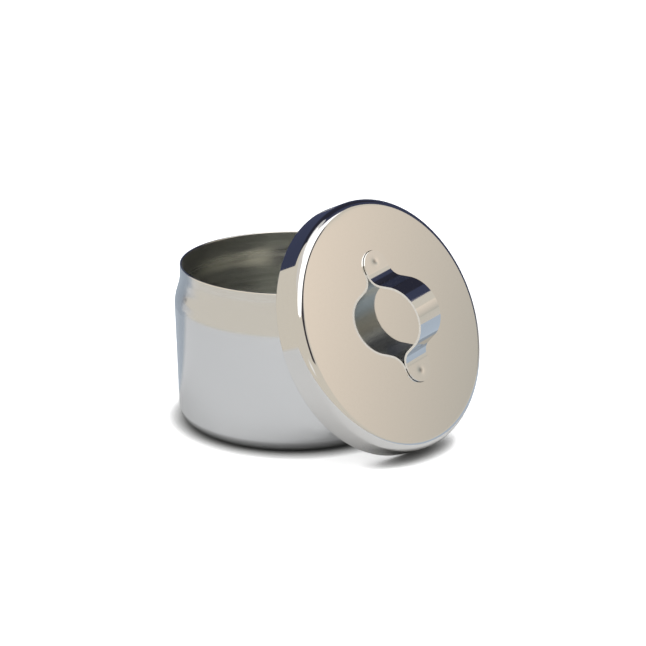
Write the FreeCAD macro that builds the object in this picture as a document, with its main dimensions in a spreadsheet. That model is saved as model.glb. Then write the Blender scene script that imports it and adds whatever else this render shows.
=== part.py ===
import FreeCAD, Part
import math
import os

import Sketcher

# A small stainless steel ointment jar from a dressing trolley, in millimetres, +Z up.
# The jar stands at the origin. Its lid, with a strap handle spot welded to its face, has been
# taken off: it stands on the edge of its skirt and leans its inner face on the jar's rim.

SIZES = (
    ("jar_radius", 47.5, "outside of the jar at its shoulder, its widest place"),
    ("base_inset", 1.1, "how much less the body's radius is at its foot"),
    ("base_corner", 6.5, "outer radius of the corner between the bottom and the body"),
    ("jar_height", 65.0, "floor to rim"),
    ("neck_inset", 2.3, "how far the neck is drawn in from the shoulder"),
    ("neck_rise", 16.0, "height of the S bend between the shoulder and the lip"),
    ("lip_height", 3.5, "straight lip above the S bend"),
    ("jar_wall", 0.85, "sheet of the jar"),
    ("lid_slack", 1.65, "room between the skirt and the shoulder when the lid is on"),
    ("lid_depth", 12.3, "face to the edge of the skirt"),
    ("lid_corner", 3.3, "outer radius between the face and the skirt"),
    ("lid_wall", 0.8, "sheet of the lid"),
    ("edge_break", 0.2, "bevel that breaks the cut edges of the rim and the skirt"),
    ("lean_azimuth", -41.9, "degrees from +X to where the lid's face looks"),
    ("lean_rise", 24.75, "degrees by which the lid's face looks up"),
    ("lean_slack", 0.1, "room between the lid's inner face and the rim it leans on"),
    ("strap_width", 12.8, "width of the handle's strip"),
    ("strap_gauge", 0.9, "thickness of the handle's strip"),
    ("arch_height", 16.9, "lid's face to the outside of the arch"),
    ("arch_radius", 13.4, "outer radius of the arch's crown"),
    ("flank_run", 4.4, "straight part of each flank of the arch"),
    ("root_bend", 6.0, "radius of the bend from a flank to its foot, on the upper side"),
    ("foot_length", 7.7, "flat part of a foot, up to its rounded tip"),
    ("strap_turn", 7.2, "degrees by which the handle is turned on the face"),
    ("shift_along", -2.0, "handle's middle from the face's middle, down the lean"),
    ("shift_across", 2.4, "handle's middle from the face's middle, level"),
    ("weld_radius", 1.2, "spot weld's dimple in a foot"),
    ("weld_depth", 0.15, "depth of the dimple"),
    ("weld_inset", 4.4, "tip of a foot to the middle of its weld"),
    ("strip_spare", 2.0, "blank left round the strip's outline before it is trimmed"),
)

# The shoulder's bend stays under half of the jar's radius, so that its ring has a hole, and
# a bevel stays under half of its wall.
SHOULDER_SHARE = 0.45
EDGE_SHARE = 0.4

# Places and bends that follow from the sizes, as formulas of the sheet.
RIM_RADIUS = "(sizes.jar_radius - sizes.neck_inset)"
LIP_FOOT = "(sizes.jar_height - sizes.lip_height)"
SHOULDER_HEIGHT = f"({LIP_FOOT} - sizes.neck_rise)"
BOTH_BENDS = "((sizes.neck_rise ^ 2 + sizes.neck_inset ^ 2) / (2 * sizes.neck_inset))"
SHOULDER_BEND = f"min({BOTH_BENDS} / 2; {SHOULDER_SHARE} * sizes.jar_radius)"
NECK_BEND = f"({BOTH_BENDS} - {SHOULDER_BEND})"
SHOULDER_CENTRE = f"(sizes.jar_radius - {SHOULDER_BEND})"
BASE_CENTRE = "(sizes.jar_radius - sizes.base_inset - sizes.base_corner)"
LID_RADIUS = "(sizes.jar_radius + sizes.lid_slack + sizes.lid_wall)"
ROOT_HEIGHT = "(sizes.root_bend + sizes.strap_gauge)"
CROWN_HEIGHT = "(sizes.arch_height - sizes.arch_radius)"
ROOT_OUT = (
    "sqrt((sizes.arch_radius + sizes.root_bend) ^ 2 + sizes.flank_run ^ 2"
    f" - ({ROOT_HEIGHT} - {CROWN_HEIGHT}) ^ 2)"
)
STRAP_HALF = f"({ROOT_OUT} + sizes.foot_length)"
RISE = "(sizes.lean_rise * 1deg)"
AZIMUTH = "(sizes.lean_azimuth * 1deg)"
FACE_UP = f"({LID_RADIUS} * cos({RISE}) + sizes.lid_depth * sin({RISE}))"
FACE_OUT = (
    f"({RIM_RADIUS} + (sizes.jar_height - {FACE_UP}) * tan({RISE})"
    f" + (sizes.lid_wall + sizes.lean_slack) / cos({RISE}))"
)

# Ends of a run of a sketch, and the sketch's own axes and origin.
START, END, CENTRE = 1, 2, 3
LEVEL_AXIS, UPRIGHT_AXIS = -1, -2
ORIGIN = (LEVEL_AXIS, START)

RIGHT_ANGLE = math.pi / 2
NEAR = 1e-6

doc = FreeCAD.newDocument("ointment_jar")

sheet = doc.addObject("Spreadsheet::Sheet", "sizes")
for row, (alias, value, meaning) in enumerate(SIZES, start=1):
    sheet.set(f"A{row}", alias)
    sheet.set(f"B{row}", str(value))
    sheet.setAlias(f"B{row}", alias)
    sheet.set(f"C{row}", meaning)
doc.recompute()


def worth(formula):
    """The value of a formula of the sheet, as a plain number."""
    value = sheet.evalExpression(formula)
    return float(getattr(value, "Value", value))


def line(start, end):
    """A straight run of a sketch between two points (across, up)."""
    return Part.LineSegment(FreeCAD.Vector(*start, 0), FreeCAD.Vector(*end, 0))


def arc(centre, radius, first, last):
    """An arc of a sketch, counter-clockwise from one angle to another, in radians."""
    circle = Part.Circle(FreeCAD.Vector(*centre, 0), FreeCAD.Vector(0, 0, 1), radius)
    return Part.ArcOfCircle(circle, first, last)


def on_circle(centre, radius, angle):
    """The point of a circle at an angle, in radians."""
    return (centre[0] + radius * math.cos(angle), centre[1] + radius * math.sin(angle))


def new_body(label):
    """A sub-part: a body whose label names its file."""
    body = doc.addObject("PartDesign::Body", label)
    body.Label = label
    return body


def origin_plane(body, role):
    """One of a body's own origin planes."""
    for feature in body.Origin.OriginFeatures:
        if feature.Role == role:
            return feature
    raise LookupError(role)


def new_sketch(body, name, role):
    """A sketch on one of the body's own origin planes."""
    sketch = body.newObject("Sketcher::SketchObject", name)
    sketch.AttachmentSupport = [(origin_plane(body, role), "")]
    sketch.MapMode = "FlatFace"
    return sketch


def tie(sketch, kind, *pairs):
    """Ties ends of runs to each other, at a corner or with one tangent."""
    for first, second in pairs:
        sketch.addConstraint(Sketcher.Constraint(kind, *first, *second))


def level(sketch, *runs):
    """Holds runs level."""
    for run in runs:
        sketch.addConstraint(Sketcher.Constraint("Horizontal", run))


def upright(sketch, *runs):
    """Holds runs upright."""
    for run in runs:
        sketch.addConstraint(Sketcher.Constraint("Vertical", run))


def on_axis(sketch, axis, *ends):
    """Holds ends of runs on one of the sketch's axes."""
    for end in ends:
        sketch.addConstraint(Sketcher.Constraint("PointOnObject", *end, axis))


def drive(sketch, kind, name, formula, *where):
    """Adds a named dimension to a sketch and binds it to the sheet."""
    held = sketch.addConstraint(Sketcher.Constraint(kind, *where, worth(formula)))
    sketch.renameConstraint(held, name)
    sketch.setExpression(f"Constraints.{name}", formula)


def run_line(start, end):
    """A straight run of a wall's outside, from start to end."""
    return {"shape": line(start, end), "tail": START, "head": END, "ends": (start, end)}


def run_arc(centre, radius, first, last):
    """A round run of a wall's outside, from one angle to another; it may go clockwise."""
    turn = 1 if last > first else -1
    return {
        "shape": arc(centre, radius, min(first, last), max(first, last)),
        "tail": START if turn > 0 else END,
        "head": END if turn > 0 else START,
        "ends": (on_circle(centre, radius, first), on_circle(centre, radius, last)),
        "arc": (centre, radius, first, last),
        "turn": turn,
    }


def inner_run(run, wall):
    """The run that lies one wall to the left of an outer run."""
    if "arc" in run:
        centre, radius, first, last = run["arc"]
        return run_arc(centre, radius - run["turn"] * wall, first, last)
    (x_start, y_start), (x_end, y_end) = run["ends"]
    length = math.dist(*run["ends"])
    aside = (-(y_end - y_start) * wall / length, (x_end - x_start) * wall / length)
    return run_line(
        (x_start + aside[0], y_start + aside[1]),
        (x_end + aside[0], y_end + aside[1]),
    )


def draw_wall(sketch, runs, wall_formula):
    """The section of a bent sheet: its outer runs, tangent in turn, an inner run one wall to
    the left of each, and a cut across each end. Gives the indices of the outer runs, of the
    inner runs, and of the two cuts."""
    wall = worth(wall_formula)
    inside = [inner_run(run, wall) for run in runs]
    outer = sketch.addGeometry([run["shape"] for run in runs], False)
    inner = sketch.addGeometry([run["shape"] for run in inside], False)
    first_cut, last_cut = sketch.addGeometry(
        [
            line(inside[0]["ends"][0], runs[0]["ends"][0]),
            line(runs[-1]["ends"][1], inside[-1]["ends"][1]),
        ],
        False,
    )
    for chain in (outer, inner):
        for step in range(len(runs) - 1):
            head = (chain[step], runs[step]["head"])
            tail = (chain[step + 1], runs[step + 1]["tail"])
            tie(sketch, "Tangent", (head, tail))
    tie(
        sketch,
        "Coincident",
        ((first_cut, START), (inner[0], runs[0]["tail"])),
        ((first_cut, END), (outer[0], runs[0]["tail"])),
        ((last_cut, START), (outer[-1], runs[-1]["head"])),
        ((last_cut, END), (inner[-1], runs[-1]["head"])),
    )
    for run, outside, within in zip(runs, outer, inner):
        if "arc" in run:
            tie(sketch, "Coincident", ((outside, CENTRE), (within, CENTRE)))
    return outer, inner, (first_cut, last_cut)


def revolve(body, name, sketch):
    """A full turn of a half section about the body's upright axis."""
    turned = body.newObject("PartDesign::Revolution", name)
    turned.Profile = (sketch, [""])
    turned.ReferenceAxis = (sketch, ["V_Axis"])
    turned.Angle = 360
    doc.recompute()
    return turned


def rings_at(feature, height):
    """The names of a feature's round edges that lie at a height."""
    names = []
    for index, edge in enumerate(feature.Shape.Edges, start=1):
        box = edge.BoundBox
        if abs(box.ZMin - height) < NEAR and abs(box.ZMax - height) < NEAR:
            names.append(f"Edge{index}")
    return names


def break_edges(body, name, feature, height, wall_formula):
    """Bevels the two cut edges of a shell's rim, each by less than half its wall."""
    bevel = body.newObject("PartDesign::Chamfer", name)
    bevel.Base = (feature, rings_at(feature, height))
    bevel.setExpression("Size", f"min(sizes.edge_break; {EDGE_SHARE} * {wall_formula})")
    doc.recompute()
    return bevel


def make_jar():
    """The drawn cup: flat bottom, tapered body, shoulder, S-bent neck and straight lip."""
    body = new_body("jar")
    half = new_sketch(body, "jar_half_section", "XZ_Plane")
    shoulder_bend = worth(SHOULDER_BEND)
    neck_bend = worth(NECK_BEND)
    corner = worth("sizes.base_corner")
    rim = worth(RIM_RADIUS)
    height = worth("sizes.jar_height")
    base_centre = (worth(BASE_CENTRE), corner)
    shoulder_centre = (worth("sizes.jar_radius") - shoulder_bend, worth(SHOULDER_HEIGHT))
    neck_centre = (rim + neck_bend, worth(LIP_FOOT))
    across = shoulder_centre[0] - base_centre[0]
    along = shoulder_centre[1] - base_centre[1]
    lag = math.acos((corner - shoulder_bend) / math.hypot(across, along))
    taper = math.atan2(along, across) - lag
    swing = math.asin(worth("sizes.neck_rise") / (shoulder_bend + neck_bend))
    outer, inner, (_, rim_cut) = draw_wall(
        half,
        [
            run_line((0, 0), (base_centre[0], 0)),
            run_arc(base_centre, corner, -RIGHT_ANGLE, taper),
            run_line(
                on_circle(base_centre, corner, taper),
                on_circle(shoulder_centre, shoulder_bend, taper),
            ),
            run_arc(shoulder_centre, shoulder_bend, taper, swing),
            run_arc(neck_centre, neck_bend, math.pi + swing, math.pi),
            run_line((rim, neck_centre[1]), (rim, height)),
        ],
        "sizes.jar_wall",
    )
    bottom, base_arc, _, shoulder, _, lip = outer
    tie(half, "Coincident", ((bottom, START), ORIGIN))
    on_axis(half, UPRIGHT_AXIS, (inner[0], START))
    level(half, bottom, inner[0], rim_cut)
    upright(half, lip, inner[-1])
    drive(half, "Radius", "base_corner", "sizes.base_corner", base_arc)
    drive(half, "Radius", "base_inside", "sizes.base_corner - sizes.jar_wall", inner[1])
    drive(half, "Radius", "shoulder_bend", SHOULDER_BEND, shoulder)
    drive(half, "Radius", "shoulder_inside", f"{SHOULDER_BEND} - sizes.jar_wall", inner[3])
    drive(half, "DistanceX", "base_centre", BASE_CENTRE, *ORIGIN, base_arc, CENTRE)
    drive(half, "DistanceX", "shoulder_centre", SHOULDER_CENTRE, *ORIGIN, shoulder, CENTRE)
    drive(half, "DistanceY", "shoulder_height", SHOULDER_HEIGHT, *ORIGIN, shoulder, CENTRE)
    drive(half, "DistanceX", "rim_radius", RIM_RADIUS, *ORIGIN, lip, START)
    drive(half, "DistanceY", "jar_height", "sizes.jar_height", *ORIGIN, lip, END)
    drive(half, "DistanceY", "lip_height", "sizes.lip_height", lip, START, lip, END)
    cup = revolve(body, "jar_cup", half)
    break_edges(body, "jar_rim", cup, height, "sizes.jar_wall")
    return body


def make_lid():
    """The drawn lid: flat face, rounded corner and straight skirt, face up in its own frame."""
    body = new_body("lid")
    half = new_sketch(body, "lid_half_section", "XZ_Plane")
    radius = worth(LID_RADIUS)
    corner = worth("sizes.lid_corner")
    depth = worth("sizes.lid_depth")
    outer, inner, (edge_cut, _) = draw_wall(
        half,
        [
            run_line((radius, -depth), (radius, -corner)),
            run_arc((radius - corner, -corner), corner, 0, RIGHT_ANGLE),
            run_line((radius - corner, 0), (0, 0)),
        ],
        "sizes.lid_wall",
    )
    skirt, corner_arc, face = outer
    tie(half, "Coincident", ((face, END), ORIGIN))
    on_axis(half, UPRIGHT_AXIS, (inner[-1], END))
    level(half, face, inner[-1], edge_cut)
    upright(half, skirt, inner[0])
    drive(half, "Radius", "lid_corner", "sizes.lid_corner", corner_arc)
    drive(half, "Radius", "corner_inside", "sizes.lid_corner - sizes.lid_wall", inner[1])
    drive(half, "DistanceX", "lid_radius", LID_RADIUS, *ORIGIN, skirt, START)
    drive(half, "DistanceY", "lid_depth", "sizes.lid_depth", skirt, START, *ORIGIN)
    drawn = revolve(body, "lid_shell", half)
    break_edges(body, "skirt_edge", drawn, -depth, "sizes.lid_wall")
    body.setExpression(
        "Placement",
        f"placement(vector({FACE_OUT} * cos({AZIMUTH}); {FACE_OUT} * sin({AZIMUTH}); {FACE_UP});"
        " rotation(sizes.lean_azimuth; 90 - sizes.lean_rise; 0))",
    )
    return body


def draw_half_strip(body):
    """Half of the bent strip seen from its side, from the tip of a foot to the crown."""
    side = new_sketch(body, "strip_side", "XZ_Plane")
    gauge = worth("sizes.strap_gauge")
    crown_radius = worth("sizes.arch_radius")
    root_radius = worth("sizes.root_bend")
    crown_centre = (0, worth(CROWN_HEIGHT))
    root_centre = (worth(ROOT_OUT), worth(ROOT_HEIGHT))
    apart = math.dist(crown_centre, root_centre)
    bearing = math.atan2(root_centre[1] - crown_centre[1], root_centre[0])
    flank = bearing + math.acos((crown_radius + root_radius) / apart)
    outer, inner, (tip_cut, _) = draw_wall(
        side,
        [
            run_line((worth(STRAP_HALF), gauge), (root_centre[0], gauge)),
            run_arc(root_centre, root_radius, 3 * RIGHT_ANGLE, flank + math.pi),
            run_line(
                on_circle(root_centre, root_radius, flank + math.pi),
                on_circle(crown_centre, crown_radius, flank),
            ),
            run_arc(crown_centre, crown_radius, flank, RIGHT_ANGLE),
        ],
        "sizes.strap_gauge",
    )
    foot, root, _, crown = outer
    level(side, foot)
    upright(side, tip_cut)
    on_axis(side, LEVEL_AXIS, (inner[0], START), (inner[0], END))
    on_axis(side, UPRIGHT_AXIS, (crown, CENTRE), (crown, END), (inner[-1], END))
    drive(side, "Radius", "crown_radius", "sizes.arch_radius", crown)
    drive(side, "Radius", "crown_inside", "sizes.arch_radius - sizes.strap_gauge", inner[-1])
    drive(side, "Radius", "root_radius", "sizes.root_bend", root)
    drive(side, "Radius", "root_underside", ROOT_HEIGHT, inner[1])
    drive(side, "DistanceY", "arch_height", "sizes.arch_height", *ORIGIN, crown, END)
    drive(side, "DistanceX", "root_out", ROOT_OUT, *ORIGIN, root, CENTRE)
    drive(side, "DistanceX", "foot_length", "sizes.foot_length", root, CENTRE, foot, START)
    return side


def draw_trim(body):
    """What is cut away round the strip: a frame about its outline with two round ends."""
    trim = new_sketch(body, "strip_outline", "XY_Plane")
    half_length = worth(STRAP_HALF)
    radius = worth("sizes.strap_width / 2")
    far = half_length + worth("sizes.strip_spare")
    wide = radius + worth("sizes.strip_spare")
    end_centre = half_length - radius
    corners = [(-far, -wide), (far, -wide), (far, wide), (-far, wide)]
    frame = trim.addGeometry(
        [line(corners[index], corners[(index + 1) % 4]) for index in range(4)], False
    )
    front, back, near_side, far_side = trim.addGeometry(
        [
            arc((end_centre, 0), radius, -RIGHT_ANGLE, RIGHT_ANGLE),
            arc((-end_centre, 0), radius, RIGHT_ANGLE, 3 * RIGHT_ANGLE),
            line((-end_centre, -radius), (end_centre, -radius)),
            line((end_centre, radius), (-end_centre, radius)),
        ],
        False,
    )
    tie(
        trim,
        "Coincident",
        *(((frame[index], END), (frame[(index + 1) % 4], START)) for index in range(4)),
    )
    tie(
        trim,
        "Tangent",
        ((near_side, END), (front, START)),
        ((front, END), (far_side, START)),
        ((far_side, END), (back, START)),
        ((back, END), (near_side, START)),
    )
    level(trim, frame[0], frame[2], near_side, far_side)
    upright(trim, frame[1], frame[3])
    on_axis(trim, LEVEL_AXIS, (front, CENTRE))
    end_out = f"{STRAP_HALF} - sizes.strap_width / 2"
    far_out = f"{STRAP_HALF} + sizes.strip_spare"
    wide_out = "sizes.strap_width / 2 + sizes.strip_spare"
    drive(trim, "Radius", "tip_radius", "sizes.strap_width / 2", front)
    drive(trim, "DistanceX", "front_tip", end_out, *ORIGIN, front, CENTRE)
    drive(trim, "DistanceX", "back_tip", end_out, back, CENTRE, *ORIGIN)
    drive(trim, "DistanceX", "frame_front", far_out, *ORIGIN, frame[1], START)
    drive(trim, "DistanceX", "frame_back", far_out, frame[3], START, *ORIGIN)
    drive(trim, "DistanceY", "frame_left", wide_out, *ORIGIN, frame[2], START)
    drive(trim, "DistanceY", "frame_right", wide_out, frame[0], START, *ORIGIN)
    return trim


def draw_welds(body):
    """The dimples that the electrodes left, one in each foot, on the feet's upper face."""
    welds = new_sketch(body, "weld_rings", "XY_Plane")
    welds.setExpression("AttachmentOffset.Base.z", "sizes.strap_gauge")
    out = f"{STRAP_HALF} - sizes.weld_inset"
    up = FreeCAD.Vector(0, 0, 1)
    radius = worth("sizes.weld_radius")
    front, back = welds.addGeometry(
        [
            Part.Circle(FreeCAD.Vector(worth(out), 0, 0), up, radius),
            Part.Circle(FreeCAD.Vector(-worth(out), 0, 0), up, radius),
        ],
        False,
    )
    on_axis(welds, LEVEL_AXIS, (front, CENTRE), (back, CENTRE))
    welds.addConstraint(Sketcher.Constraint("Equal", front, back))
    drive(welds, "Radius", "weld_radius", "sizes.weld_radius", front)
    drive(welds, "DistanceX", "front_weld", out, *ORIGIN, front, CENTRE)
    drive(welds, "DistanceX", "back_weld", out, back, CENTRE, *ORIGIN)
    return welds


def make_handle(lid):
    """The strap handle: one strip bent to an arch with two round-ended feet."""
    body = new_body("handle")
    side = draw_half_strip(body)
    strip = body.newObject("PartDesign::Pad", "half_strip")
    strip.Profile = (side, [""])
    strip.SideType = "Symmetric"
    strip.setExpression("Length", "sizes.strap_width + 2 * sizes.strip_spare")
    doc.recompute()
    whole = body.newObject("PartDesign::Mirrored", "whole_strip")
    whole.Originals = [strip]
    whole.MirrorPlane = (origin_plane(body, "YZ_Plane"), [""])
    body.Tip = whole
    doc.recompute()
    trimmed = body.newObject("PartDesign::Pocket", "trimmed_strip")
    trimmed.Profile = (draw_trim(body), [""])
    trimmed.Type = "ThroughAll"
    trimmed.Reversed = True
    doc.recompute()
    if trimmed.Shape.Volume > whole.Shape.Volume * 0.9:
        raise ValueError("the strip isn't trimmed")
    dimpled = body.newObject("PartDesign::Pocket", "weld_dimples")
    dimpled.Profile = (draw_welds(body), [""])
    dimpled.Type = "Length"
    dimpled.setExpression("Length", "sizes.weld_depth")
    doc.recompute()
    if dimpled.Shape.Volume >= trimmed.Shape.Volume:
        raise ValueError("the feet have no dimples")
    body.setExpression(
        "Placement",
        f"{lid.Name}.Placement * placement(vector(sizes.shift_along; sizes.shift_across; 0);"
        " rotation(vector(0; 0; 1); sizes.strap_turn))",
    )
    return body


jar = make_jar()
lid = make_lid()
handle = make_handle(lid)
doc.recompute()

for item in doc.Objects:
    if "Invalid" in item.State or "Error" in item.State:
        raise RuntimeError(f"{item.Label} failed: {item.State}")

os.makedirs("parts", exist_ok=True)
for body in (jar, lid, handle):
    shape = body.Shape
    if shape.isNull() or not shape.isValid() or len(shape.Solids) != 1:
        raise RuntimeError(f"{body.Label} isn't one sound solid")
for body in (jar, lid, handle):
    body.Shape.exportStep(f"parts/{body.Label}.step")
    box = body.Shape.BoundBox
    print(
        f"{body.Label}: {body.Shape.Volume / 1000:.2f} cm3,"
        f" x {box.XMin:.2f} {box.XMax:.2f}, y {box.YMin:.2f} {box.YMax:.2f},"
        f" z {box.ZMin:.2f} {box.ZMax:.2f}"
    )
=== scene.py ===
import logging
import math
from dataclasses import dataclass, replace
from enum import Enum

import bpy
import numpy as np
from mathutils import Euler, Matrix, Vector

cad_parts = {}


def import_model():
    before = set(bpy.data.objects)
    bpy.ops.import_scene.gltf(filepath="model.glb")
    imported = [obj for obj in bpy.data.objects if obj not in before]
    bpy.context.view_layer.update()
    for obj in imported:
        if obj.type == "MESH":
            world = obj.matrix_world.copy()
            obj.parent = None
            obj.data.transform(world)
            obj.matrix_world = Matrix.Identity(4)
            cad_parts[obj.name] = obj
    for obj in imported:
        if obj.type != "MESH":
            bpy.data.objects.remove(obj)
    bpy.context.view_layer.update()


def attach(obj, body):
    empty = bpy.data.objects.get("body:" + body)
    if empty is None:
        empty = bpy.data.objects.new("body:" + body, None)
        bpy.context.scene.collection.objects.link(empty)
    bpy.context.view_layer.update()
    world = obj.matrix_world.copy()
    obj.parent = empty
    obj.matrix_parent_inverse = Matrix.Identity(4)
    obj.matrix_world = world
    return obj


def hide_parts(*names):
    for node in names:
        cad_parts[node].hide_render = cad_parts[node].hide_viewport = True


LOG = logging.getLogger("ointment_jar")

MM = 0.001
RIGHT_ANGLE = math.pi / 2

# How a profile is sampled: in millimetres, a share of a run, and radians.
RUN_STEP = 3.0
RUN_GUARD = 0.02
GUARD_SHARE = 0.2
BEND_STEP = math.radians(2.0)
FEWEST_BEND_STEPS = 6

# The steel's noises, in cells to the metre, and the heights of their bumps in metres.
GRAIN_CELLS = 900.0
SWAY_CELLS = 28.0
NOISE_ROUGHNESS = 0.55
NOISE_RANGE = (0.3, 0.7)
GRAIN_HEIGHT = 0.02 * MM
SWAY_HEIGHT = 0.2 * MM

# The share of its tint the steel keeps in its darkest grain, and in painted shade at a weld
# dimple.
GRAIN_TONE = 0.96
TURNED_TONE = 0.75
DIMPLE_SHADE_TONE = 0.42

# Where the reflectors' spheres have their middle, in metres, and the points of a reflector.
CARD_MIDDLE = (0.02, -0.02, 0.05)
PATCH_ROWS, PATCH_COLUMNS = 49, 25

LAMP_AIM = (0.0, 0.0, 0.03)

Point = tuple[float, float]
Triple = tuple[float, float, float]
Colour = tuple[float, float, float]
Tree = bpy.types.NodeTree
Socket = bpy.types.NodeSocket


def shade(red: int, green: int, blue: int) -> Colour:
    """Turns a screen colour into a linear one.

    Each channel is c / 12.92 below the knee of the screen curve and
    ((c + 0.055) / 1.055) ** 2.4 above it.

    Args:
        red: Screen value from 0 to 255.
        green: Screen value from 0 to 255.
        blue: Screen value from 0 to 255.

    Returns:
        The linear red, green and blue.
    """
    screen = np.array([red, green, blue]) / 255
    linear = np.where(screen <= 0.04045, screen / 12.92, ((screen + 0.055) / 1.055) ** 2.4)
    return tuple(float(value) for value in linear)


class Grain(Enum):
    """How the steel's surface was finished."""

    MIRROR = "mirror"
    SATIN = "satin"
    TURNED = "turned"


class Zone(Enum):
    """The zones of a drawn shell that carry finishes of their own."""

    OUTSIDE = 0
    EDGE = 1
    INSIDE = 2


# How far the grain's noise is drawn out: cells to the metre along x, y and r + z.
GRAIN_STRETCH = {
    Grain.TURNED: (1.5, 1.5, 420.0),
    Grain.SATIN: (220.0, 220.0, 1500.0),
}


@dataclass(frozen=True)
class Straight:
    """A straight run of a profile, from start to end, in millimetres."""

    start: Point
    end: Point
    zone: Zone = Zone.OUTSIDE

    def points(self) -> np.ndarray:
        """Samples the run: start + t (end - start).

        The steps crowd towards both ends, so that a flat run keeps its own shading right up
        to the bend beside it.

        Returns:
            An array of points, one row each.
        """
        start, end = np.array(self.start), np.array(self.end)
        length = float(np.hypot(*(end - start)))
        guard = min(RUN_GUARD / max(length, RUN_GUARD), GUARD_SHARE)
        steps = max(2, int(length / RUN_STEP))
        share = np.concatenate([[0.0, guard, 3 * guard], np.linspace(0, 1, steps + 1)[1:-1],
                                [1 - 3 * guard, 1 - guard, 1.0]])
        share = np.unique(np.clip(share, 0, 1))
        return start + share[:, None] * (end - start)


@dataclass(frozen=True)
class Bend:
    """A round run of a profile about a centre, between two angles in radians."""

    centre: Point
    radius: float
    first: float
    last: float
    zone: Zone = Zone.OUTSIDE

    def points(self) -> np.ndarray:
        """Samples the run: centre + radius (cos a, sin a), in even steps of the angle a.

        Returns:
            An array of points, one row each.
        """
        steps = max(FEWEST_BEND_STEPS, int(abs(self.last - self.first) / BEND_STEP))
        angle = np.linspace(self.first, self.last, steps + 1)
        spoke = np.stack([np.cos(angle), np.sin(angle)], axis=1)
        return np.array(self.centre) + self.radius * spoke


def chain(runs: list[Straight | Bend]) -> tuple[np.ndarray, np.ndarray]:
    """Joins the runs of a profile end to end.

    Args:
        runs: The runs in order, each starting where the last one ended.

    Returns:
        The points of the whole profile, and the zone number of each step between two points.
    """
    points = [runs[0].points()[:1]]
    zones = []
    for run in runs:
        sampled = run.points()[1:]
        points.append(sampled)
        zones += [run.zone.value] * len(sampled)
    return np.concatenate(points), np.array(zones)


def add_object(name: str, data: bpy.types.ID) -> bpy.types.Object:
    """Puts a new object of a mesh, light or camera into the scene's own collection."""
    made = bpy.data.objects.new(name, data)
    bpy.context.scene.collection.objects.link(made)
    return made


def sheet_faces(index: np.ndarray) -> np.ndarray:
    """The corners of the quads over a grid of point numbers, one row each."""
    return np.stack([index[:-1, :-1], index[1:, :-1], index[1:, 1:], index[:-1, 1:]],
                    axis=-1).reshape(-1, 4)


def tube_faces(rings: int, spokes: int) -> tuple[np.ndarray, np.ndarray]:
    """Faces of a tube whose ends are closed by fans.

    The points are numbered ring by ring, then come the first end's middle and the last's.

    Args:
        rings: How many rings of points the tube has.
        spokes: How many points a ring has.

    Returns:
        The corners of the quads and of the triangles, one row each.
    """
    index = np.arange(rings * spokes).reshape(rings, spokes)
    beside = np.roll(index, -1, axis=1)
    quads = np.stack([index[:-1], beside[:-1], beside[1:], index[1:]], axis=-1)
    first = np.full(spokes, rings * spokes)
    fans = [
        np.stack([first, beside[0], index[0]], axis=-1),
        np.stack([first + 1, index[-1], beside[-1]], axis=-1),
    ]
    return quads.reshape(-1, 4), np.concatenate(fans)


@dataclass
class Surface:
    """Points and faces of one closed piece, in millimetres."""

    points: np.ndarray
    quads: np.ndarray
    triangles: np.ndarray
    quad_zones: np.ndarray
    triangle_zones: np.ndarray

    def placed(self, matrix: Matrix) -> "Surface":
        """The same surface moved and turned by a matrix whose lengths are millimetres."""
        turn = np.array(matrix.to_3x3())
        move = np.array(matrix.translation)
        return replace(self, points=self.points @ turn.T + move)

    def signed_volume(self) -> float:
        """Adds up corner . (corner x corner) / 6 over the faces: positive if they face out."""
        halves = [self.quads[:, [0, 1, 2]], self.quads[:, [0, 2, 3]], self.triangles]
        corners = self.points[np.concatenate(halves)]
        cross = np.cross(corners[:, 1], corners[:, 2])
        return float(np.einsum("ij,ij->i", corners[:, 0], cross).sum() / 6)

    def to_object(self, name: str, finishes: list[bpy.types.Material]) -> bpy.types.Object:
        """Makes a smooth-shaded object of the surface, at the origin, in metres.

        Args:
            name: The piece's name.
            finishes: Materials, indexed by zone number.

        Returns:
            The new object.
        """
        quads, triangles = self.quads, self.triangles
        if self.signed_volume() < 0:
            quads, triangles = quads[:, ::-1], triangles[:, ::-1]
        mesh = bpy.data.meshes.new(name)
        mesh.from_pydata((self.points * MM).tolist(), [], quads.tolist() + triangles.tolist())
        for finish in finishes:
            mesh.materials.append(finish)
        zones = np.concatenate([self.quad_zones, self.triangle_zones]).astype(np.int32)
        mesh.polygons.foreach_set("material_index", zones)
        mesh.polygons.foreach_set("use_smooth", np.ones(len(zones), dtype=bool))
        mesh.update()
        return add_object(name, mesh)


def spun(profile: np.ndarray, zones: np.ndarray, spokes: int) -> Surface:
    """Turns a profile that starts and ends on the axis about the upright axis.

    The point at profile step i and angle a is (r_i cos a, r_i sin a, z_i).

    Args:
        profile: Points (radius, height), the first and the last with radius 0.
        zones: The zone number of each step between two points.
        spokes: How many columns of faces go round.

    Returns:
        The closed surface.
    """
    angle = np.linspace(0, 2 * math.pi, spokes, endpoint=False)
    rings = profile[1:-1]
    around = np.stack([
        rings[:, :1] * np.cos(angle),
        rings[:, :1] * np.sin(angle),
        np.repeat(rings[:, 1:], spokes, axis=1),
    ], axis=-1).reshape(-1, 3)
    poles = [[0.0, 0.0, profile[0, 1]], [0.0, 0.0, profile[-1, 1]]]
    quads, triangles = tube_faces(len(rings), spokes)
    return Surface(np.concatenate([around, poles]), quads, triangles,
                   np.repeat(zones[1:-1], spokes), np.repeat([zones[0], zones[-1]], spokes))


@dataclass(frozen=True)
class Place:
    """Where a piece's own frame stands: its origin in millimetres and its turn."""

    origin: Triple = (0.0, 0.0, 0.0)
    turn: Triple = (0.0, 0.0, 0.0)

    def matrix(self) -> Matrix:
        """The matrix that takes the piece's own frame to the object's, in millimetres."""
        turned = Euler(self.turn, "XYZ").to_matrix().to_4x4()
        return Matrix.Translation(Vector(self.origin)) @ turned


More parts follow.
